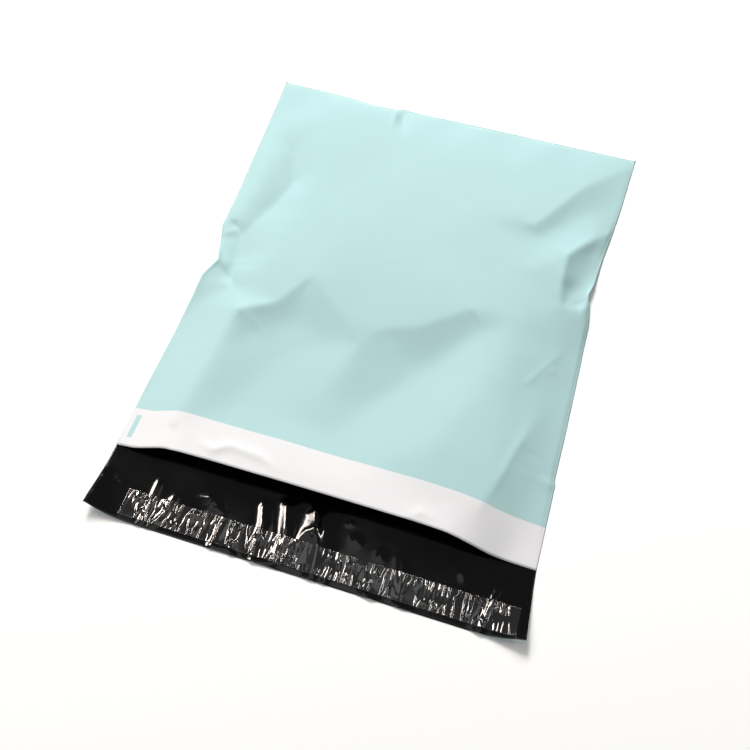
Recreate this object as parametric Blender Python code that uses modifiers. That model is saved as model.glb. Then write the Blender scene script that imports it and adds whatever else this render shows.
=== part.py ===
"""Poly mailer bag: one film sheet folded at the bottom and welded up both sides, open at its mouth.

Metres, +Z up. The bag lies on its back panel. X runs across it, and +Y from the flap to the bottom fold.
The origin is on the floor under the middle of the outline.
"""
import math

import bmesh
import bpy

# the flat sheet and the made bag
BAG_WIDTH = 0.310
FLAP_LENGTH = 0.050
POCKET_LENGTH = 0.360
BAG_LENGTH = FLAP_LENGTH + POCKET_LENGTH
FILM_THICKNESS = 0.00008

# the slack front panel: its height at the mouth and further in, and how far it takes to rise
MOUTH_HEIGHT = 0.015
BODY_HEIGHT = 0.012
SIDE_RISE = 0.034
FOLD_RISE = 0.080

# half widths (y, distance from the middle line) of the side welds, which pinch in where the bag was creased
LEFT_WELD = ((-0.205, 0.155), (-0.150, 0.152), (-0.050, 0.148), (0.008, 0.141), (0.040, 0.149),
             (0.130, 0.152), (0.205, 0.155))
RIGHT_WELD = ((-0.205, 0.155), (-0.150, 0.151), (-0.020, 0.150), (0.035, 0.148), (0.062, 0.144),
              (0.100, 0.148), (0.150, 0.152), (0.205, 0.155))

# the flap's corners curl up off the floor
CURL_HEIGHT = 0.009
CURL_START_X = 0.095
CURL_START_Y = -0.165

# the hot-melt stripe on the flap, and the clear film that covers it
STRIPE_X = (-0.126, 0.142)
STRIPE_Y = (-0.196, -0.1865)
STRIPE_THICKNESS = 0.00010
LINER_X = (-0.1285, 0.147)
LINER_Y = (-0.201, -0.182)
LINER_THICKNESS = 0.00006
CLEARANCE = 0.0003

COLUMNS = 22
FLAP_ROWS = 5
PANEL_ROWS = 24
STRIPE_COLUMNS = 32
STRIPE_ROWS = 4


def clear_scene():
    for old in list(bpy.data.objects):
        bpy.data.objects.remove(old, do_unlink=True)


def new_collection(name):
    collection = bpy.data.collections.new(name)
    bpy.context.scene.collection.children.link(collection)
    return collection


def plain_material(name, colour, roughness, alpha=1.0):
    material = bpy.data.materials.new(name)
    material.use_nodes = True
    shader = material.node_tree.nodes["Principled BSDF"]
    shader.inputs["Base Color"].default_value = (*colour, 1.0)
    shader.inputs["Roughness"].default_value = roughness
    shader.inputs["Metallic"].default_value = 0.0
    shader.inputs["Alpha"].default_value = alpha
    return material


def clamp(value):
    return min(max(value, 0.0), 1.0)


def ease(value):
    """0 to 1 with a level start and end."""
    value = clamp(value)
    return value * value * (3 - 2 * value)


def rise(value):
    """0 to 1, steepest at the start, so that the two walls part at once."""
    return math.sin(clamp(value) * math.pi / 2)


def half_width(weld, y):
    for (y0, w0), (y1, w1) in zip(weld, weld[1:]):
        if y <= y1:
            return w0 + (w1 - w0) * ease((y - y0) / (y1 - y0))
    return weld[-1][1]


def weld_to_weld(across, y):
    """x at a share across the bag, from -1 at the left weld to 1 at the right one."""
    return across * half_width(RIGHT_WELD if across > 0 else LEFT_WELD, y)


def flap_height(x, y):
    """Height of the flap's lower face: each corner curls up on a parabola in both directions."""
    sideways = clamp((abs(x) - CURL_START_X) / (BAG_WIDTH / 2 - CURL_START_X))
    forwards = clamp((CURL_START_Y - y) / (CURL_START_Y + BAG_LENGTH / 2))
    return CURL_HEIGHT * sideways ** 2 * forwards ** 2


def front_height(x, y):
    """Height of the front panel's outer face above the floor."""
    mouth_y = FLAP_LENGTH - BAG_LENGTH / 2
    weld = half_width(RIGHT_WELD if x > 0 else LEFT_WELD, y)
    top = MOUTH_HEIGHT + (BODY_HEIGHT - MOUTH_HEIGHT) * ease((y - mouth_y) / POCKET_LENGTH * 3)
    return top * rise((weld - abs(x)) / SIDE_RISE) * rise((BAG_LENGTH / 2 - y) / FOLD_RISE)


def folded(across, row):
    """Where a point of the flat sheet lies on the made bag: rows run flap, back panel, then front panel."""
    if row <= FLAP_ROWS:
        y = -BAG_LENGTH / 2 + FLAP_LENGTH * row / FLAP_ROWS
        x = weld_to_weld(across, y)
        return x, y, flap_height(x, y)
    panel_row = (row - FLAP_ROWS) / PANEL_ROWS
    if panel_row <= 1:
        y = -BAG_LENGTH / 2 + FLAP_LENGTH + POCKET_LENGTH * panel_row
        return weld_to_weld(across, y), y, 0.0
    y = BAG_LENGTH / 2 - POCKET_LENGTH * (panel_row - 1)
    x = weld_to_weld(across, y)
    return x, y, front_height(x, y)


def sheet_object(name, collection, material, columns, rows, place, thickness):
    """A grid of columns by rows, laid out by place(share across, row) and given its thickness upwards."""
    bm = bmesh.new()
    bmesh.ops.create_grid(bm, x_segments=columns, y_segments=rows, size=1.0)
    for vert in bm.verts:
        vert.co = place(vert.co.x, round((vert.co.y + 1) / 2 * rows))
    bmesh.ops.remove_doubles(bm, verts=bm.verts, dist=1e-6)  # the two side welds
    mesh = bpy.data.meshes.new(name)
    bm.to_mesh(mesh)
    bm.free()
    mesh.materials.append(material)
    obj = bpy.data.objects.new(name, mesh)
    collection.objects.link(obj)
    solidify = obj.modifiers.new("Film thickness", "SOLIDIFY")
    solidify.thickness = thickness
    solidify.offset = 1.0
    solidify.use_even_offset = True
    return obj


def band_place(x_limits, y_limits, lift):
    """A band along the flap's edge that follows its curl, lift above the sheet's lower face."""
    def place(across, row):
        x = x_limits[0] + (x_limits[1] - x_limits[0]) * (across + 1) / 2
        y = y_limits[0] + (y_limits[1] - y_limits[0]) * row / STRIPE_ROWS
        return x, y, flap_height(x, y) + lift
    return place


def bag_film(collection):
    material = plain_material("Printed film", (0.55, 0.84, 0.82), 0.35)
    rows = FLAP_ROWS + 2 * PANEL_ROWS
    return sheet_object("bag_film", collection, material, COLUMNS, rows, folded, FILM_THICKNESS)


def adhesive_strip(collection):
    material = plain_material("Hot-melt adhesive", (0.20, 0.20, 0.20), 0.5, 0.5)
    place = band_place(STRIPE_X, STRIPE_Y, FILM_THICKNESS + CLEARANCE)
    return sheet_object("adhesive_strip", collection, material, STRIPE_COLUMNS, STRIPE_ROWS, place,
                        STRIPE_THICKNESS)


def release_liner(collection):
    material = plain_material("Clear liner film", (0.85, 0.85, 0.85), 0.15, 0.3)
    lift = FILM_THICKNESS + CLEARANCE + STRIPE_THICKNESS + CLEARANCE
    return sheet_object("release_liner", collection, material, STRIPE_COLUMNS, STRIPE_ROWS,
                        band_place(LINER_X, LINER_Y, lift), LINER_THICKNESS)


def main():
    clear_scene()
    collection = new_collection("poly_mailer_bag")
    bag_film(collection)
    adhesive_strip(collection)
    release_liner(collection)


main()
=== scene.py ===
import bpy
import numpy as np
from mathutils import Matrix, Vector, geometry, noise


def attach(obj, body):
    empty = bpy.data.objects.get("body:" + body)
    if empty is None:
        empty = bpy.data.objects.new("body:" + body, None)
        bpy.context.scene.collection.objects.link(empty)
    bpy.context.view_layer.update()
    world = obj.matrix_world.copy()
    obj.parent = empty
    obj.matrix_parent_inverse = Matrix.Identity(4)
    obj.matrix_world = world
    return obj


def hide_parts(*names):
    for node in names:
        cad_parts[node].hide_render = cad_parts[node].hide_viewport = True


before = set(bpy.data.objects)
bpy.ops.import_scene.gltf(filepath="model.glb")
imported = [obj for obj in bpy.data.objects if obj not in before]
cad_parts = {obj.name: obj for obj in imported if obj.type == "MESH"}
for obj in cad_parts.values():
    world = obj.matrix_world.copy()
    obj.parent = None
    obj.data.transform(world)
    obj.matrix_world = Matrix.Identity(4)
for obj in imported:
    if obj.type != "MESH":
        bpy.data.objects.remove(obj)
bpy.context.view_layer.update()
mm = 0.001


# smooth curve through (place, value) pairs that never swings past them
def throughPoints(points, at):
    places, values = np.array(points, float).T
    widths = np.diff(places)
    rises = np.diff(values) / widths
    slopes = np.zeros(len(places))
    slopes[0], slopes[-1] = rises[0], rises[-1]
    sameWay = rises[:-1] * rises[1:] > 0
    before, after = rises[:-1][sameWay], rises[1:][sameWay]
    slopes[1:-1][sameWay] = 2 * before * after / (before + after)
    at = np.clip(np.asarray(at, float), places[0], places[-1])
    step = np.clip(np.searchsorted(places, at, side="right") - 1, 0, len(places) - 2)
    width = widths[step]
    t = (at - places[step]) / width
    return ((1 + 2 * t) * (1 - t) ** 2 * values[step] + t * (1 - t) ** 2 * width * slopes[step]
            + t * t * (3 - 2 * t) * values[step + 1] + t * t * (t - 1) * width * slopes[step + 1])


# distance of each (x, y) from a line of (x, y, value) points, and the line's value there
def alongLine(points, x, y):
    nearest = np.full(x.shape, 1e9)
    value = np.zeros(x.shape)
    for (x0, y0, v0), (x1, y1, v1) in zip(points, points[1:]):
        dx, dy = x1 - x0, y1 - y0
        share = np.clip(((x - x0) * dx + (y - y0) * dy) / (dx * dx + dy * dy), 0, 1)
        distance = np.hypot(x - x0 - share * dx, y - y0 - share * dy)
        closer = distance < nearest
        nearest = np.where(closer, distance, nearest)
        value = np.where(closer, v0 + (v1 - v0) * share, value)
    return nearest, value


# sum of creases, each a ridge with a crisp top that fades to both sides
def creaseHeight(creases, x, y, edge=0.35):
    height = np.zeros(x.shape)
    for points, width in creases:
        distance, value = alongLine(points, x, y)
        soft = np.sqrt(distance ** 2 + (edge * width) ** 2) - edge * width
        height += value * np.exp(-1.6 * soft / width)
    return height


# smooth noise between -1 and 1, one value a point, with features spacing millimetres apart
def roughness(x, y, spacing, seed):
    values = [noise.noise(Vector((a / spacing, b / spacing, seed))) for a, b in zip(x.ravel(), y.ravel())]
    return np.array(values).reshape(x.shape)


# gaussian blur that keeps the values at the grid's edges
def smoothed(grid, sigmaRows, sigmaColumns):
    for axis, sigma in ((0, sigmaRows), (1, sigmaColumns)):
        reach = int(3 * sigma) + 1
        kernel = np.exp(-0.5 * (np.arange(-reach, reach + 1) / sigma) ** 2)
        kernel /= kernel.sum()
        pad = [(0, 0), (0, 0)]
        pad[axis] = (reach, reach)
        padded = np.pad(grid, pad, mode="reflect", reflect_type="odd")
        grid = np.apply_along_axis(lambda line: np.convolve(line, kernel, "valid"), axis, padded)
    return grid


# the film, in millimetres; places are in the row's frame, y up from the flap to the bottom fold
bag = {
    "front": -205.0,
    "mouth": -155.0,
    "flapLength": 50.0,
    "panelLength": 360.0,
    "filmThickness": 0.08,
    "halfWidth": 155.0,
    "weldHeight": 0.3,
    "columnStep": 1.7,
    "panelRows": 170,
    "flapRows": 38,
    "keptFaces": 0.6,
    "foldRise": 5.0,
    "weldRise": 2.0,
    "creaseReach": 9.0,
    # side welds (y, x): both draw in where the bag was creased across
    "leftWeld": [(-205, -152), (-195, -152.5), (-155, -151.5), (-100, -150), (-50, -148), (-8, -145.5),
                 (8, -139), (24, -144), (42, -149.5), (50, -149), (100, -151.5), (150, -153),
                 (205, -155)],
    "rightWeld": [(-205, 154), (-155, 151), (-93, 150.5), (-91, 149.5), (-50, 149.5), (0, 149), (36, 148),
                  (50, 146), (61, 142.5), (72, 145), (100, 147), (120, 149.5), (150, 152), (205, 155)],
    # how far the welds stand off the floor (y, z)
    "leftLift": [(-205, 0), (-60, 0), (-32, 3), (-6, 7), (8, 7.5), (30, 4), (47, 4), (90, 0.5), (205, 0)],
    "rightLift": [(-205, 0), (10, 0), (50, 2), (61, 5), (80, 2), (120, 0.5), (205, 0)],
    # the bottom fold and the mouth (x, y)
    "foldLine": [(-155, 204.5), (-100, 203.5), (-72, 201.5), (-52, 202), (-46, 203.5), (-36, 203),
                 (0, 203.5), (155, 204.5)],
    "mouthLine": [(-155, -155), (-142, -155), (-130, -153.8), (-112, -151.6), (-60, -151), (60, -151),
                  (88, -151.6), (108, -153.6), (125, -155), (155, -155)],
    # height of the mouth over the flap (x, z)
    "mouthHeight": [(-152, 0.3), (-143, 1.2), (-132, 7), (-116, 13.5), (-95, 16), (-60, 16.4), (0, 16.6),
                    (60, 16.6), (84, 16.2), (98, 13), (112, 6.4), (126, 1.6), (140, 0.5), (152, 0.3)],
}

# the slack front panel: high and low points (x, y, z), joined by flat facets
panel = {
    "points": {
        "behindFold": [(-146, 195, 2.4), (-100, 194, 4.8), (-66, 193, 4.8), (-26, 193, 4.8),
                       (20, 193, 4.8), (80, 193, 4.6), (128, 196, 2.4)],
        "upperBand": [(-142, 164, 3.4), (-112, 162, 6.6), (-62, 160, 7.8), (-36, 168, 6.6), (0, 160, 8.2),
                      (60, 160, 8.2), (104, 172, 6.6)],
        "leftRidge": [(-143, 140, 5.6), (-136, 112, 9.0), (-135, 80, 10.0), (-138, 50, 9.0)],
        "leftValley": [(-120, 130, 4.4), (-108, 99, 3.6), (-116, 70, 5.2), (-126, 46, 6.8)],
        "leftPlateau": [(-96, 124, 8.4), (-92, 96, 9.4), (-92, 60, 11.4), (-98, 24, 12.6),
                        (-112, 4, 11.6)],
        "leftPinch": [(-131, 32, 4.0), (-127, 14, 3.4), (-124, -4, 4.4), (-119, -12, 7.2)],
        "leftMargin": [(-140, -30, 2.6), (-129, -66, 5.0), (-133, -105, 4.6), (-134, -135, 4.6)],
        "leftShoulder": [(-104, -33, 16.0), (-111, -71, 14.4), (-117, -115, 13.8), (-116, -138, 13.6)],
        "leftArch": [(-104, -33, 16.0), (-79, -17, 13.4), (-63, 10, 14.8), (-30, -13, 12.6),
                     (-9, -33, 11.0)],
        "basin": [(-84, -42, 8.4), (-62, -24, 7.8), (-64, -60, 6.8), (-34, -38, 6.8), (-50, -100, 9.0),
                  (-86, -112, 10.8), (-20, -75, 9.2)],
        "middleRidge": [(61, 17, 14.8), (27, -8, 13.0), (0, -18, 12.0)],
        "middleValley": [(70, 3, 10.4), (42, -34, 5.2), (12, -74, 5.0), (-8, -106, 8.4)],
        "rightCrown": [(86, 0, 14.0), (82, -46, 14.2), (66, -90, 13.6), (36, -116, 12.2)],
        "rightShoulder": [(94, 12, 13.8), (97, -20, 14.2), (103, -64, 14.2), (104, -96, 14.0),
                          (92, -132, 12.8)],
        "rightMargin": [(128, 6, 7.4), (128, -30, 6.6), (142, -60, 2.0), (142, -84, 2.6),
                        (133, -112, 4.4), (134, -140, 1.6)],
        "rightKnee": [(126, -56, 8.6), (119, -76, 11.4), (113, -103, 12.8), (106, -124, 13.2)],
        "cornerRidge": [(147, 191, 2.0), (120, 160, 8.0), (90, 108, 12.8)],
        "cornerValley": [(149, 174, 1.0), (134, 146, 2.6), (108, 112, 6.4), (97, 98, 9.4)],
        "rightFoldTop": [(149, 124, 2.4), (134, 108, 8.6), (120, 87, 13.0)],
        "rightFold": [(120, 87, 13.0), (120, 62, 12.2), (124, 41, 10.8)],
        "rightFoot": [(142, 98, 1.6), (138, 78, 1.6), (132, 57, 2.6), (141, 48, 6.8), (141, 34, 5.4)],
        "crown": [(-52, 112, 9.6), (0, 112, 10.6), (46, 104, 12.2), (-50, 62, 12.4), (0, 60, 12.6),
                  (50, 60, 13.2), (88, 62, 13.0), (-18, 26, 13.0), (34, 34, 14.2)],
        "nearMouth": [(-62, -134, 13.6), (-20, -138, 14.8), (22, -138, 14.6), (60, -134, 13.4)],
    },
    # groups that are loose points; the others are lines
    "scattered": ["behindFold", "upperBand", "crown", "basin", "nearMouth", "rightFoot"],
    # lines that keep their crease when the panel is smoothed
    "sharp": ["leftValley", "leftArch", "leftPinch", "middleRidge", "rightFold", "rightFoldTop",
              "rightKnee", "cornerRidge"],
    # single creases laid over it: (x, y, height) along each, and its width
    "creases": [
        ([(-104, -33, 0.4), (-92, -38, 0.5), (-76, -48, 0.0)], 4),
        ([(120, 88, 0.5), (132, 105, 0.6), (148, 123, 0.0)], 4),
        ([(120, 87, 0.5), (120, 68, 0.8), (122, 46, 0.0)], 4),
        ([(-110, 99, -0.5), (-119, 118, -0.6), (-131, 136, 0.0)], 5),
        ([(126, -57, 0.0), (120, -75, 0.7), (113, -102, 0.7), (108, -122, 0.0)], 3.5),
        ([(141, -82, 0.0), (130, -79, -0.6), (120, -77, 0.0)], 3.5),
        ([(61, 18, 0.3), (72, 9, 0.7), (79, -3, 0.5), (82, -16, 0.0)], 3),
        ([(111, -32, 0.0), (116, -25, 0.6), (122, -13, 0.6), (130, 0, 0.5), (134, 10, 0.0)], 3),
        ([(124, -18, 0.0), (129, -12, 0.5), (134, -8, 0.0)], 2.5),
        ([(-148, 33, 0.6), (-140, 36, 1.2), (-131, 42, 0.0)], 2.6),
        ([(-146, 46, 0.0), (-140, 44, -2.0), (-133, 39, -1.2), (-128, 34, 0.0)], 3.0),
        ([(-139, 4, 0.0), (-131, 0, -1.8), (-123, -7, -1.2), (-117, -14, 0.0)], 3.5),
        ([(144, 57, 0.0), (136, 50, -1.2), (126, 41, 0.0)], 3),
        ([(144, 56, 0.6), (141, 46, 1.0), (140, 34, 0.0)], 3),
        ([(-52, 203, 0.8), (-50, 188, 1.6), (-48, 172, 0.0)], 2.4),
        ([(-45, 203, -1.4), (-43, 188, -1.9), (-36, 172, 0.0)], 3.6),
        ([(-94, -139, 0.0), (-80, -143, 1.5), (-70, -137, 1.5), (-49, -138, 1.5), (-26, -145, 0.0)], 3.6),
        ([(58, -150, 0.0), (68, -144, 1.2), (80, -146, 0.0)], 3.4),
        ([(-120, -133, 0.0), (-113, -137, -1.2), (-108, -149, -0.8)], 4),
        ([(-9, 46, 0.0), (-8, 44, 0.4), (-7, 40, 0.0)], 2),
        ([(150, -96, 0.0), (146, -95, 0.8), (138, -91, 0.0)], 3),
    ],
}

# the flap, black face up
flap = {
    # its corners curl up: (x, z) along the front edge
    "curl": [(-153, 9.5), (-146, 6.8), (-136, 3.4), (-124, 1.2), (-108, 0.0), (114, 0.0), (128, 1.2),
             (140, 4.2), (148, 7.4), (154, 9.5)],
    # wrinkles that stand up across it: (x, y, height) along each, and its width
    "creases": [
        ([(-37, -162, 0), (-35, -168, 1.7), (-31.5, -179, 2.0), (-31.5, -192, 1.6), (-30, -205, 0.8)], 4.2),
        ([(-22, -157, 0), (-20, -162, 2.2), (-15.5, -177, 2.8), (-14, -184, 2.3), (-17, -200, 1.0)], 5.6),
        ([(-3, -156, 0.9), (0, -159, 2.8), (4, -172, 3.4), (9, -183, 2.6), (11, -204, 1.2)], 6.5),
        ([(4, -172, 1.5), (-2, -176, 1.6), (-5, -184, 1.4), (-5, -198, 0.6)], 3.4),
        ([(-5, -159, 0), (-3, -170, 1.4), (0, -182, 1.2), (2, -196, 0)], 12),
        ([(-111.5, -168, 0), (-111, -174, 0.9), (-111, -190, 1.0), (-112.5, -205, 0.9)], 2),
        ([(-95, -175, 0), (-97, -181, 1.0), (-98, -190, 0.8), (-106, -205, 0.6)], 2.4),
        ([(-84, -175, 0), (-72, -171.5, 1.5), (-62, -173, 0)], 2.0),
        ([(-80, -178, 0), (-70, -174.5, 1.5), (-60, -176.5, 0)], 2.0),
        ([(-76, -181, 0), (-67, -178, 1.5), (-59, -180, 0)], 2.0),
        ([(-60, -177, 0), (-58, -186, 1.0), (-60, -205, 0.8)], 2.4),
        ([(61, -171, 0), (65, -175, 1.2), (67, -182, 1.4), (68, -192, 0.4)], 2.6),
        ([(49, -170, 0), (50.5, -176, 0.8), (51, -181, 0)], 2.2),
        ([(28, -167, 0), (32, -171, 1.0), (36, -174, 0)], 2.2),
        ([(24, -159, 0), (25, -161, 0.7), (26, -163, 0)], 2),
        ([(105, -167, 0), (106, -172, 0.6), (107, -178, 0)], 2.6),
        ([(132, -167, 0.4), (130, -176, 1.8), (127.5, -184, 1.9), (126, -194, 1.7), (124.5, -205, 1.2)], 3),
        ([(134, -172, 0), (136, -182, 0.7), (138, -196, 0.4)], 3),
        ([(-148.5, -170, 0), (-149.5, -178, 1.5), (-150, -190, 1.5), (-150, -201, 0.8)], 2.0),
        ([(-146, -180, 0), (-147, -188, 0.8), (-148, -197, 0.3)], 1.6),
        ([(-141, -176, 0), (-139, -178, 0.6), (-136, -179, 0)], 1.6),
        ([(147, -176, 0), (148.5, -188, 0.7), (149.5, -203, 0.5)], 1.6),
        ([(42, -199, 0), (47, -202.5, 1.7), (54, -206, 1.4)], 2.4),
        ([(-64, -202, 0), (-56, -203, 1.6), (-48, -202, 1.6), (-44, -205, 1.0)], 2.4),
        ([(-30, -205, 0.8), (-22, -203, 1.2), (-12, -201, 1.0), (-4, -202, 0)], 2.2),
        ([(20, -186, 0), (21, -196, 0.9), (20, -206, 0.8)], 2.2),
        ([(64, -202, 0), (71, -204, 1.0), (79, -207, 0.8)], 2),
    ],
}


# places across the sheet, -1 at the left weld and 1 at the right one, closer together in the welds
def columnShares():
    half = bag["halfWidth"]
    fine = [0.0, 0.7, 1.5, 2.4, 3.2, 4.2]
    inner = half - fine[-1]
    count = 2 * round(inner / bag["columnStep"])
    middle = np.linspace(-inner, inner, count + 1)
    left = -half + np.array(fine[:-1])
    return np.concatenate([left, middle, -left[::-1]]) / half


def weldX(share, y):
    left, right = (np.interp(y, *np.array(line, float).T) for line in (bag["leftWeld"], bag["rightWeld"]))
    return np.where(share < 0, -share * left, share * right)


def weldLift(share, y):
    return np.where(share < 0, throughPoints(bag["leftLift"], y), throughPoints(bag["rightLift"], y))


# height of the front panel over the (x, y) grid: flat facets between the listed points
def cageHeight(x, y):
    points, edges = [], []
    for name, group in panel["points"].items():
        if name in panel["scattered"]:
            points += group
            continue
        edges += [(len(points) + i, len(points) + i + 1) for i in range(len(group) - 1)]
        points += group
    for at in np.linspace(-150, 200, 36):
        for side in (-1, 1):
            share, level = np.array([side]), np.array([at])
            points.append((float(weldX(share, level)[0]), float(at),
                           float(weldLift(share, level)[0]) + bag["weldHeight"]))
    for at in np.linspace(-152, 152, 39):
        points.append((float(at), -160.0, float(throughPoints(bag["mouthHeight"], at))))
        points.append((float(at), float(throughPoints(bag["foldLine"], at)) + 1, 0.3))
    flat = [Vector(point[:2]) for point in points]
    verts, _, faces, origins, _, _ = geometry.delaunay_2d_cdt(flat, edges, [], 0, 1e-4)
    heights = [points[source[0]][2] if source else 0.0 for source in origins]
    result = np.zeros(x.shape)
    for face in faces:
        (x0, y0), (x1, y1), (x2, y2) = (verts[i] for i in face)
        area = (y1 - y2) * (x0 - x2) + (x2 - x1) * (y0 - y2)
        if abs(area) < 1e-9:
            continue
        a = ((y1 - y2) * (x - x2) + (x2 - x1) * (y - y2)) / area
        b = ((y2 - y0) * (x - x2) + (x0 - x2) * (y - y2)) / area
        inside = (a >= -1e-6) & (b >= -1e-6) & (a + b <= 1 + 1e-6)
        height = a * heights[face[0]] + b * heights[face[1]] + (1 - a - b) * heights[face[2]]
        result = np.where(inside, height, result)
    return result


# x, y, z of the front panel, rows from the bottom fold to the mouth
def frontPanel(shares):
    rows = bag["panelRows"]
    down = np.linspace(0, 1, rows + 1)[:, None]
    share = np.broadcast_to(shares, (rows + 1, len(shares)))
    atX = share * bag["halfWidth"]
    fold, mouth = throughPoints(bag["foldLine"], atX), throughPoints(bag["mouthLine"], atX)
    y = fold + (mouth - fold) * down
    x = weldX(share, y)
    cage = cageHeight(x, y)
    soft = smoothed(cage, 2.8, 3.6)
    crisp = smoothed(cage, 1.0, 1.2)
    near = np.full(x.shape, 1e9)
    for name in panel["sharp"]:
        near = np.minimum(near, alongLine(panel["points"][name], x, y)[0])
    z = soft + (crisp - soft) * np.exp(-(near / bag["creaseReach"]) ** 2)
    z += creaseHeight(panel["creases"], x, y)
    z += 0.3 * roughness(x, y, 34, 1.7) + 0.1 * roughness(x, y, 13, 5.1)
    # both panels meet in the weld and at the fold
    fromWeld = (1 - np.abs(share)) * bag["halfWidth"]
    seat = weldLift(share, y) + bag["weldHeight"]
    z = seat + (z - seat) * np.clip((fromWeld - 0.6) / bag["weldRise"], 0, 1)
    fromFold = np.clip(down * bag["panelLength"] / bag["foldRise"], 0, 1)
    z = 0.3 + weldLift(share, y) + (z - 0.3 - weldLift(share, y)) * fromFold ** 0.6
    return x, y, np.maximum(z, 0.25)


# x, y, z of the back panel, rows from the mouth to the bottom fold
def backPanel(shares):
    rows = bag["panelRows"]
    up = np.linspace(0, 1, rows + 1)[:, None]
    share = np.broadcast_to(shares, (rows + 1, len(shares)))
    atX = share * bag["halfWidth"]
    fold = throughPoints(bag["foldLine"], atX)
    mouth = np.where(up > 0, throughPoints(bag["mouthLine"], atX), bag["mouth"])
    y = mouth + (fold - mouth) * up
    x = weldX(share, y)
    fromWeld = (1 - np.abs(share)) * bag["halfWidth"]
    return x, y, weldLift(share, y) * np.clip(1 - fromWeld / 24, 0, 1) ** 2


# height of the flap's black face
def flapZ(x, y):
    alongFlap = np.clip((bag["mouth"] - 6 - y) / 44, 0, 1)
    curl = np.maximum(throughPoints(flap["curl"], x), 0) * alongFlap ** 1.7
    ripple = 0.15 * (0.5 + roughness(x, y, 40, 9.2)) * np.clip((bag["mouth"] - y) / 12, 0, 1)
    return np.maximum(curl + creaseHeight(flap["creases"], x, y, 0.3) + ripple, 0)


# x, y, z of the flap, rows from its front edge to the mouth
def flapPanel(shares):
    rows = bag["flapRows"]
    back = np.linspace(0, 1, rows + 1)[:, None]
    share = np.broadcast_to(shares, (rows + 1, len(shares)))
    atX = share * bag["halfWidth"]
    frontEdge = bag["front"] + 3.2 * np.clip(throughPoints(flap["curl"], atX) / 9.5, 0, 1) ** 1.5
    y = frontEdge + (bag["mouth"] - frontEdge) * back
    x = weldX(share, y)
    return x, y, flapZ(x, y)


def meshObject(name, vertices, faces, cornerUv=None):
    used, faces = np.unique(faces, return_inverse=True)
    mesh = bpy.data.meshes.new(name)
    mesh.from_pydata(vertices[used].tolist(), [], faces.reshape(-1, 4).tolist())
    if cornerUv is not None:
        layer = mesh.uv_layers.new(name="sheet")
        layer.data.foreach_set("uv", cornerUv.astype(np.float32).ravel())
    mesh.update()
    mesh.shade_smooth()
    piece = bpy.data.objects.new(name, mesh)
    bpy.context.scene.collection.objects.link(piece)
    return piece


def gridFaces(rows, columns):
    corner = np.arange(rows * columns).reshape(rows, columns)
    return np.stack([corner[:-1, :-1], corner[:-1, 1:], corner[1:, 1:], corner[1:, :-1]], -1).reshape(-1, 4)


# the piece's mesh as its modifiers leave it, with none left on it
def applyModifiers(piece):
    mesh = bpy.data.meshes.new_from_object(piece.evaluated_get(bpy.context.evaluated_depsgraph_get()))
    piece.modifiers.clear()
    old = piece.data
    piece.data = mesh
    bpy.data.meshes.remove(old)
    mesh.name = piece.name


def buildFilm(outside, inside):
    shares = columnShares()
    # rows run flap, back panel, front panel; each panel's first row is the last one of the panel before
    panels = [np.stack(make(shares), -1) for make in (flapPanel, backPanel, frontPanel)]
    sheet = np.concatenate([panels[0], panels[1][1:], panels[2][1:]])
    count, across = sheet.shape[:2]
    # distance along the flat sheet from the front panel's mouth
    panelEnd = bag["panelLength"]
    flapEnd = 2 * panelEnd + bag["flapLength"]
    distance = np.concatenate([np.linspace(flapEnd, 2 * panelEnd, bag["flapRows"] + 1),
                               np.linspace(2 * panelEnd, panelEnd, bag["panelRows"] + 1)[1:],
                               np.linspace(panelEnd, 0, bag["panelRows"] + 1)[1:]])
    flatX, flatY = np.broadcast_arrays(shares[None, :] * bag["halfWidth"], distance[:, None])
    uv = np.stack([flatX, flatY], -1).reshape(-1, 2)
    faces = gridFaces(count, across)
    cornerUv = uv[faces.ravel()] * mm
    # the side welds: the ends of each front row are those of the back panel's row under it
    backStart, foldRow = bag["flapRows"], bag["flapRows"] + bag["panelRows"]
    joined = np.arange(count * across)
    for row in range(foldRow + 1, count):
        for end in (0, across - 1):
            joined[row * across + end] = (2 * foldRow - row) * across + end
    film = meshObject("mailer_bag_film", sheet.reshape(-1, 3) * mm, joined[faces], cornerUv)
    # the back panel lies flat, so it needs few faces
    low = film.vertex_groups.new(name="back panel")
    points = np.empty(len(film.data.vertices) * 3)
    film.data.vertices.foreach_get("co", points)
    rowOf = np.unique(joined[faces]) // across
    places = points.reshape(-1, 3)
    inner = (rowOf > backStart + 1) & (rowOf < foldRow - 1) & (np.abs(places[:, 0]) < 0.128)
    low.add(np.nonzero(inner)[0].tolist(), 1.0, "REPLACE")
    thin = film.modifiers.new("Fewer faces underneath", "DECIMATE")
    thin.vertex_group = low.name
    thin.ratio = bag["keptFaces"]
    wall = film.modifiers.new("Film thickness", "SOLIDIFY")
    wall.thickness = bag["filmThickness"] * mm
    wall.offset = 1.0
    film.data.materials.append(inside)
    film.data.materials.append(outside)
    wall.material_offset = 1
    wall.material_offset_rim = 1
    applyModifiers(film)
    film.vertex_groups.clear()
    print("film:", len(film.data.polygons), "faces,",
          sum(len(face.vertices) - 2 for face in film.data.polygons), "triangles")
    return film


def newMaterial(name, values):
    material = bpy.data.materials.new(name)
    material.use_nodes = True
    shader = material.node_tree.nodes["Principled BSDF"]
    for socket, value in values.items():
        shader.inputs[socket].default_value = value
    return material, material.node_tree, shader


def addNode(tree, kind, x, y, values=None, **settings):
    node = tree.nodes.new(kind)
    node.location = (x, y)
    for name, value in settings.items():
        setattr(node, name, value)
    for socket, value in (values or {}).items():
        node.inputs[socket].default_value = value
    return node


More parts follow.
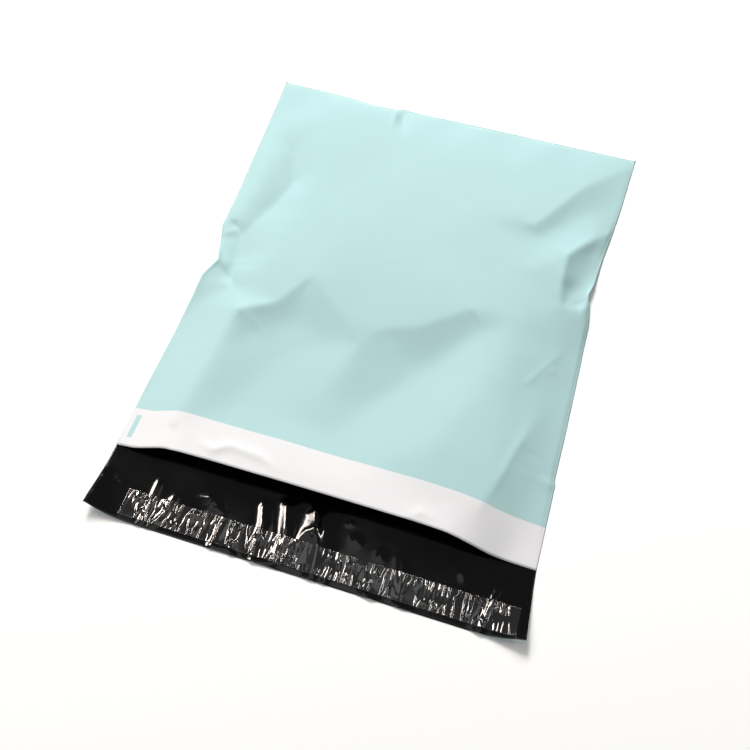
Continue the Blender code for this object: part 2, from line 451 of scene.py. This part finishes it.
def addMath(tree, operation, x, y, first, second=None):
    node = addNode(tree, "ShaderNodeMath", x, y, operation=operation)
    for socket, value in zip(node.inputs, (first, second)):
        if value is None:
            continue
        if isinstance(value, (int, float)):
            socket.default_value = value
        else:
            tree.links.new(value, socket)
    return node.outputs["Value"]


# blown film's surface: faint bands along the sheet and a fine pebble, as a height and a blotch mask
def filmTextureGroup():
    group = bpy.data.node_groups.new("blownFilm", "ShaderNodeTree")
    for name, default in (("Pebble Scale", 900.0), ("Band Scale", 60.0)):
        entry = group.interface.new_socket(name, in_out="INPUT", socket_type="NodeSocketFloat")
        entry.default_value = default
    for name in ("Height", "Blotches"):
        group.interface.new_socket(name, in_out="OUTPUT", socket_type="NodeSocketFloat")
    inputs = addNode(group, "NodeGroupInput", -900, 0)
    outputs = addNode(group, "NodeGroupOutput", 500, 0)
    coords = addNode(group, "ShaderNodeTexCoord", -900, 300)
    stretch = addNode(group, "ShaderNodeMapping", -680, 300, {"Scale": (1.0, 0.05, 1.0)})
    bands = addNode(group, "ShaderNodeTexNoise", -450, 300, {"Detail": 2.0})
    pebble = addNode(group, "ShaderNodeTexNoise", -450, 0, {"Detail": 3.0, "Roughness": 0.6})
    blotch = addNode(group, "ShaderNodeTexNoise", -450, -300, {"Scale": 35.0, "Detail": 3.0})
    group.links.new(coords.outputs["UV"], stretch.inputs["Vector"])
    group.links.new(stretch.outputs["Vector"], bands.inputs["Vector"])
    group.links.new(coords.outputs["Object"], pebble.inputs["Vector"])
    group.links.new(coords.outputs["Object"], blotch.inputs["Vector"])
    group.links.new(inputs.outputs["Pebble Scale"], pebble.inputs["Scale"])
    group.links.new(inputs.outputs["Band Scale"], bands.inputs["Scale"])
    both = addMath(group, "MULTIPLY_ADD", -150, 150, bands.outputs["Fac"], 0.6)
    group.links.new(pebble.outputs["Fac"], both.node.inputs[2])
    group.links.new(both, outputs.inputs["Height"])
    group.links.new(blotch.outputs["Fac"], outputs.inputs["Blotches"])
    return group


# wires the film texture into a material's bump and roughness
def addFilmSurface(tree, shader, group, strength, distance, roughLow, roughHigh, pebble=900.0):
    surface = addNode(tree, "ShaderNodeGroup", -700, -250, node_tree=group)
    surface.inputs["Pebble Scale"].default_value = pebble
    bump = addNode(tree, "ShaderNodeBump", -300, -350, {"Strength": strength, "Distance": distance})
    tree.links.new(surface.outputs["Height"], bump.inputs["Height"])
    tree.links.new(bump.outputs["Normal"], shader.inputs["Normal"])
    spread = addNode(tree, "ShaderNodeMapRange", -300, -100, {"From Min": 0.3, "From Max": 0.7})
    spread.inputs["To Min"].default_value = roughLow
    spread.inputs["To Max"].default_value = roughHigh
    tree.links.new(surface.outputs["Blotches"], spread.inputs["Value"])
    tree.links.new(spread.outputs["Result"], shader.inputs["Roughness"])
    return surface


printed = {
    "teal": (0.412, 0.611, 0.618, 1.0),
    "white": (0.74, 0.74, 0.75, 1.0),
    "bandWidth": 30.0,
    "edge": 0.25,
    "markCentre": (-148.2, 16.0),
    "markHalf": (2.0, 9.0),
}


# the outside: white along the mouth, one flat colour from there on, and a small register bar by the weld
def printedFilm(group):
    material, tree, shader = newMaterial("printedFilm", {"Specular IOR Level": 0.2, "IOR": 1.45})
    addFilmSurface(tree, shader, group, 0.10, 0.00012, 0.46, 0.54)
    sheet = addNode(tree, "ShaderNodeUVMap", -1500, 300, uv_map="sheet")
    split = addNode(tree, "ShaderNodeSeparateXYZ", -1300, 300)
    tree.links.new(sheet.outputs["UV"], split.inputs["Vector"])
    across, along = split.outputs["X"], split.outputs["Y"]

    def inkEdge(value, start, y):
        soft = addNode(tree, "ShaderNodeMapRange", -900, y, interpolation_type="SMOOTHSTEP")
        soft.inputs["From Min"].default_value = (start - printed["edge"] / 2) * mm
        soft.inputs["From Max"].default_value = (start + printed["edge"] / 2) * mm
        tree.links.new(value, soft.inputs["Value"])
        return soft.outputs["Result"]

    colourField = inkEdge(along, printed["bandWidth"], 500)
    reach = []
    for axis, value in enumerate((across, along)):
        middle = addMath(tree, "SUBTRACT", -1100, 100 - 200 * axis, value, printed["markCentre"][axis] * mm)
        away = addMath(tree, "ABSOLUTE", -1000, 100 - 200 * axis, middle)
        outside = inkEdge(away, printed["markHalf"][axis], 100 - 200 * axis)
        reach.append(addMath(tree, "SUBTRACT", -700, 100 - 200 * axis, 1.0, outside))
    mark = addMath(tree, "MULTIPLY", -500, 100, reach[0], reach[1])
    inked = addMath(tree, "MAXIMUM", -400, 400, colourField, mark)
    colour = addNode(tree, "ShaderNodeMix", -200, 300, data_type="RGBA")
    colour.inputs["A"].default_value = printed["white"]
    colour.inputs["B"].default_value = printed["teal"]
    tree.links.new(inked, colour.inputs["Factor"])
    tree.links.new(colour.outputs["Result"], shader.inputs["Base Color"])
    return material


# the inside: carbon-black polyethylene with a wet-looking gloss
def blackFilm(group):
    material, tree, shader = newMaterial("blackFilm", {
        "Base Color": (0.0014, 0.0014, 0.0016, 1.0), "IOR": 1.5, "Specular IOR Level": 0.8})
    addFilmSurface(tree, shader, group, 0.08, 0.0001, 0.08, 0.14, 700.0)
    return material


def clearLiner(group):
    material, tree, shader = newMaterial("clearLiner", {
        "Base Color": (0.012, 0.012, 0.013, 1.0), "IOR": 1.8, "Specular IOR Level": 1.0, "Alpha": 0.85})
    addFilmSurface(tree, shader, group, 0.05, 0.0001, 0.06, 0.12, 1400.0)
    return material


def clearAdhesive(group):
    material, tree, shader = newMaterial("hotMeltAdhesive", {
        "Base Color": (0.02, 0.02, 0.022, 1.0), "IOR": 1.48})
    addFilmSurface(tree, shader, group, 0.3, 0.0003, 0.18, 0.30, 500.0)
    return material


# a strip on the flap, following its surface, lift above it
def gridPiece(name, values, step, lift):
    columns = round((values["right"] - values["left"]) / step) + 1
    rows = round((values["back"] - values["front"]) / step) + 1
    x, y = np.meshgrid(np.linspace(values["left"], values["right"], columns),
                       np.linspace(values["front"], values["back"], rows))
    z = flapZ(x, y) + bag["filmThickness"] + lift
    vertices = np.stack([x, y, z], -1).reshape(-1, 3) * mm
    faces = gridFaces(rows, columns)
    uv = np.stack([x, y], -1).reshape(-1, 2)[faces.ravel()] * mm
    return meshObject(name, vertices, faces, uv)


# the stripe of adhesive on the flap, in millimetres
stripe = {"left": -126.0, "right": 142.0, "front": -196.0, "back": -186.5, "thickness": 0.1, "lift": 0.25}


def buildStripe(material):
    piece = gridPiece("adhesive_stripe", stripe, 1.0, stripe["lift"])
    wall = piece.modifiers.new("Stripe thickness", "SOLIDIFY")
    wall.thickness = stripe["thickness"] * mm
    wall.offset = 1.0
    piece.data.materials.append(material)
    applyModifiers(piece)
    print("stripe:", len(piece.data.polygons), "faces")
    return piece


# the clear film over the stripe, in millimetres
liner = {
    "left": -128.5,
    "right": 147.0,
    "front": -201.0,
    "back": -182.0,
    "lift": 0.45,
    "thickness": 0.04,
    "step": 0.4,
    "puckerHeight": 1.35,
    "puckersPerMillimetre": 0.19,
    "puckerStretch": 0.25,
    "twist": 0.8,
    "seed": 7.3,
}


# Geometry Nodes: lifts a film off its glue in narrow puckers that run across the strip
def puckerTree():
    tree = bpy.data.node_groups.new("linerPuckers", "GeometryNodeTree")
    face = tree.interface
    face.new_socket("Geometry", in_out="INPUT", socket_type="NodeSocketGeometry")
    for name, default in (("Pucker Height", 0.001), ("Puckers Per Metre", 170.0), ("Stretch", 0.4),
                          ("Twist", 1.0), ("Seed", 1.0)):
        face.new_socket(name, in_out="INPUT", socket_type="NodeSocketFloat").default_value = default
    face.new_socket("Material", in_out="INPUT", socket_type="NodeSocketMaterial")
    face.new_socket("Geometry", in_out="OUTPUT", socket_type="NodeSocketGeometry")
    inputs = addNode(tree, "NodeGroupInput", -1400, 0)
    output = addNode(tree, "NodeGroupOutput", 900, 0)
    place = addNode(tree, "GeometryNodeInputPosition", -1400, 300)
    split = addNode(tree, "ShaderNodeSeparateXYZ", -1200, 300)
    tree.links.new(place.outputs["Position"], split.inputs["Vector"])
    shortened = addMath(tree, "MULTIPLY", -1000, 200, split.outputs["Y"], inputs.outputs["Stretch"])
    flat = addNode(tree, "ShaderNodeCombineXYZ", -800, 300)
    tree.links.new(split.outputs["X"], flat.inputs["X"])
    tree.links.new(shortened, flat.inputs["Y"])
    puckers = addNode(tree, "ShaderNodeTexNoise", -500, 300, {"Detail": 0.6, "Roughness": 0.3},
                      noise_dimensions="4D")
    tree.links.new(flat.outputs["Vector"], puckers.inputs["Vector"])
    tree.links.new(inputs.outputs["Seed"], puckers.inputs["W"])
    tree.links.new(inputs.outputs["Puckers Per Metre"], puckers.inputs["Scale"])
    tree.links.new(inputs.outputs["Twist"], puckers.inputs["Distortion"])
    # folded noise: a narrow ridge wherever the noise passes its middle value
    centred = addMath(tree, "SUBTRACT", -300, 300, puckers.outputs["Fac"], 0.5)
    folded = addMath(tree, "ABSOLUTE", -150, 300, centred)
    ridge = addNode(tree, "ShaderNodeMapRange", 0, 300, {"From Min": 0.0, "From Max": 0.09},
                    interpolation_type="SMOOTHSTEP")
    ridge.inputs["To Min"].default_value = 1.0
    ridge.inputs["To Max"].default_value = 0.0
    tree.links.new(folded, ridge.inputs["Value"])
    loose = addNode(tree, "GeometryNodeInputNamedAttribute", 0, 0, {"Name": "loose"}, data_type="FLOAT")
    height = addMath(tree, "MULTIPLY", 200, 300, ridge.outputs["Result"], loose.outputs["Attribute"])
    height = addMath(tree, "MULTIPLY", 350, 300, height, inputs.outputs["Pucker Height"])
    offset = addNode(tree, "ShaderNodeCombineXYZ", 500, 300)
    tree.links.new(height, offset.inputs["Z"])
    move = addNode(tree, "GeometryNodeSetPosition", 300, 0)
    tree.links.new(inputs.outputs["Geometry"], move.inputs["Geometry"])
    tree.links.new(offset.outputs["Vector"], move.inputs["Offset"])
    real = addNode(tree, "GeometryNodeRealizeInstances", 500, 0)
    wear = addNode(tree, "GeometryNodeSetMaterial", 700, 0)
    tree.links.new(move.outputs["Geometry"], real.inputs["Geometry"])
    tree.links.new(real.outputs["Geometry"], wear.inputs["Geometry"])
    tree.links.new(inputs.outputs["Material"], wear.inputs["Material"])
    tree.links.new(wear.outputs["Geometry"], output.inputs["Geometry"])
    return tree


def setInput(modifier, name, value):
    socket = next(item for item in modifier.node_group.interface.items_tree
                  if item.name == name and item.in_out == "INPUT")
    modifier[socket.identifier] = value


def buildLiner(material):
    piece = gridPiece("release_liner_film", liner, liner["step"], liner["lift"])
    places = np.empty(len(piece.data.vertices) * 3)
    piece.data.vertices.foreach_get("co", places)
    x, y = places.reshape(-1, 3)[:, 0] / mm, places.reshape(-1, 3)[:, 1] / mm
    # it is stuck along the middle of the stripe, and looser in some stretches than in others
    middle = (liner["front"] + liner["back"]) / 2
    free = 0.3 + 0.7 * np.clip((np.abs(y - middle) - 1.5) / 4, 0, 1)
    patches = 0.62 + 1.1 * roughness(x, y * 0.3, 15, 3.3)
    loose = piece.data.attributes.new("loose", "FLOAT", "POINT")
    loose.data.foreach_set("value", np.clip(free * patches, 0.05, 1.2).astype(np.float32))
    puckers = piece.modifiers.new("Puckers", "NODES")
    puckers.node_group = puckerTree()
    setInput(puckers, "Pucker Height", liner["puckerHeight"] * mm)
    setInput(puckers, "Puckers Per Metre", liner["puckersPerMillimetre"] / mm)
    setInput(puckers, "Stretch", liner["puckerStretch"])
    setInput(puckers, "Twist", liner["twist"])
    setInput(puckers, "Seed", liner["seed"])
    setInput(puckers, "Material", material)
    wall = piece.modifiers.new("Film thickness", "SOLIDIFY")
    wall.thickness = liner["thickness"] * mm
    wall.offset = 1.0
    applyModifiers(piece)
    piece.data.shade_smooth()
    heights = [vertex.co.z for vertex in piece.data.vertices]
    print("liner:", len(piece.data.polygons), "faces, heights", min(heights), "to", max(heights))
    return piece


# lamps: place in metres, size across and along, watts
studio = {
    "worldStrength": 0.08,
    "worldColour": (1.0, 0.995, 0.985),
    "floorColour": (0.95, 0.95, 0.94, 1.0),
    "lamps": {
        "key": {"from": (-1.3, 2.25, 2.35), "size": (1.1, 1.1), "power": 122.0, "colour": (1.0, 0.99, 0.97)},
        "overhead": {"from": (-0.3, -0.4, 2.0), "size": (1.2, 1.4), "power": 2.2, "colour": (1.0, 1.0, 1.0)},
        "fillRight": {"from": (2.3, -0.4, 2.0), "size": (1.8, 1.8), "power": 5.0, "colour": (1.0, 1.0, 1.0)},
        "fillFront": {"from": (-1.2, -2.3, 2.0), "size": (1.8, 1.8), "power": 7.0, "colour": (1.0, 1.0, 1.0)},
        "leftBox": {"from": (-0.9, 0.2, 1.0), "size": (0.7, 0.08), "power": 4.8, "colour": (1.0, 0.93, 0.87)},
        "rightBox": {"from": (0.95, 0.25, 0.95), "size": (0.5, 0.06), "power": 2.3,
                     "colour": (1.0, 0.98, 0.96)},
        "backBox": {"from": (-0.2, 1.25, 0.9), "size": (0.6, 0.08), "power": 4.8,
                    "colour": (0.98, 0.98, 1.0)},
        "leftGlow": {"from": (-0.95, 0.15, 0.95), "size": (0.5, 0.34), "power": 6.5,
                     "colour": (1.0, 0.88, 0.8)},
    },
    # the key lights the bag evenly; the boxes show as glints in the film, and the glow only there
    "notMirrored": ["key"],
    "onlyMirrored": ["leftGlow"],
}


def addLamp(name, values):
    light = bpy.data.lights.new(name, "AREA")
    light.shape = "RECTANGLE"
    light.size, light.size_y = values["size"]
    light.energy = values["power"]
    light.color = values["colour"]
    lamp = bpy.data.objects.new(name, light)
    lamp.location = values["from"]
    lamp.rotation_euler = (-Vector(values["from"])).to_track_quat("-Z", "Y").to_euler()
    lamp.visible_glossy = name not in studio["notMirrored"]
    lamp.visible_diffuse = name not in studio["onlyMirrored"]
    bpy.context.scene.collection.objects.link(lamp)


def buildStudio():
    bpy.ops.mesh.primitive_plane_add(size=6.0, location=(0, 0, -0.0002))
    floor = bpy.context.object
    floor.name = "studio_floor"
    material, _, _ = newMaterial("paleFloor", {"Base Color": studio["floorColour"], "Roughness": 0.9,
                                               "Specular IOR Level": 0.1})
    floor.data.materials.append(material)
    world = bpy.data.worlds.new("studioWorld")
    world.use_nodes = True
    background = world.node_tree.nodes["Background"]
    background.inputs["Color"].default_value = (*studio["worldColour"], 1.0)
    background.inputs["Strength"].default_value = studio["worldStrength"]
    bpy.context.scene.world = world
    for name, values in studio["lamps"].items():
        addLamp(name, values)
    print("studio:", len(studio["lamps"]), "lamps")


view = {
    "from": (0.0969, -0.3133, 0.5592),
    "right": (0.9541, 0.2994, -0.0123),
    "up": (-0.2626, 0.8553, 0.4466),
    "focalLength": 40.94,
}


def buildCamera():
    camera = bpy.data.cameras.new("productCamera")
    camera.lens = view["focalLength"]
    camera.sensor_width = 36.0
    camera.clip_start = 0.01
    holder = bpy.data.objects.new("productCamera", camera)
    right, up = Vector(view["right"]).normalized(), Vector(view["up"]).normalized()
    back = right.cross(up).normalized()
    up = back.cross(right)
    turn = Matrix((right, up, back)).transposed()
    holder.matrix_world = Matrix.Translation(view["from"]) @ turn.to_4x4()
    bpy.context.scene.collection.objects.link(holder)
    bpy.context.scene.camera = holder
    print("camera: lens", view["focalLength"], "mm")


buildStudio()
buildCamera()
surface = filmTextureGroup()
film = buildFilm(printedFilm(surface), blackFilm(surface))
stripePiece = buildStripe(clearAdhesive(surface))
linerPiece = buildLiner(clearLiner(surface))

for piece, node, slot in ((film, "bag_film", "printed_film"),
                          (stripePiece, "adhesive_strip", "hot_melt_adhesive"),
                          (linerPiece, "release_liner", "clear_liner")):
    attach(piece, "root")
    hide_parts(node)

bpy.context.scene.view_settings.view_transform = "Standard"
